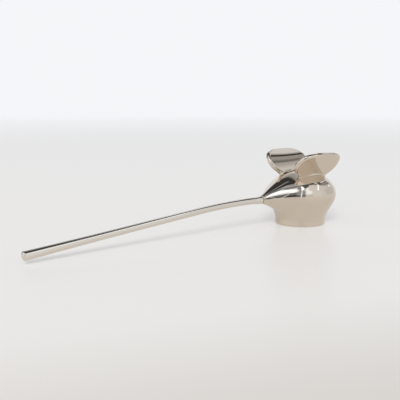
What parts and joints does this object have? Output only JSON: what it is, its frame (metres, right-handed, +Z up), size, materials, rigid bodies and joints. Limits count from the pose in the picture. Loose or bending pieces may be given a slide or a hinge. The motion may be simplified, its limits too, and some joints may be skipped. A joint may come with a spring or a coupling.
{
  "type": "candle snuffer",
  "caption": "Mirror-polished candle snuffer: a hollow bell shaped as a round-eared animal head, its drawn-out snout running into a slim, gently bent handle that unscrews.",
  "frame": {"origin": "middle of the whole snuffer's outline box, at the height of the table that the bell's rim stands on", "axes": "+X from the handle's tip to the back of the bell, +Y towards the right ear, +Z up out of the table"},
  "size_m": [0.1972, 0.041, 0.044],
  "materials": {
    "nickel": "mirror-polished warm nickel plate",
    "solder": "polished solder under the same plate",
    "washer_brass": "bright turned brass",
    "stud_steel": "rolled thread, lightly oiled"
  },
  "bodies": {
    "head": {"bell_head": "nickel", "left_ear": "nickel", "right_ear": "nickel", "left_ear_solder": "solder", "right_ear_solder": "solder"},
    "washer": {"shim_washer": "washer_brass"},
    "handle": {"handle": "nickel", "threaded_stud": "stud_steel"}
  },
  "joints": [
    {"name": "handle_draw", "type": "slide", "parent": "head", "child": "washer", "axis": [-1, 0, 0], "range_m": [0, 0.006]},
    {"name": "handle_turn", "type": "hinge", "parent": "washer", "child": "handle", "pos_m": [0.04638, 0, 0.0169], "axis": [-1, 0, 0], "range_deg": [0, 4800]}
  ],
  "couplings": [
    {"joint": "handle_draw", "follows": "handle_turn", "m_per_rad": 0.000071619}
  ]
}
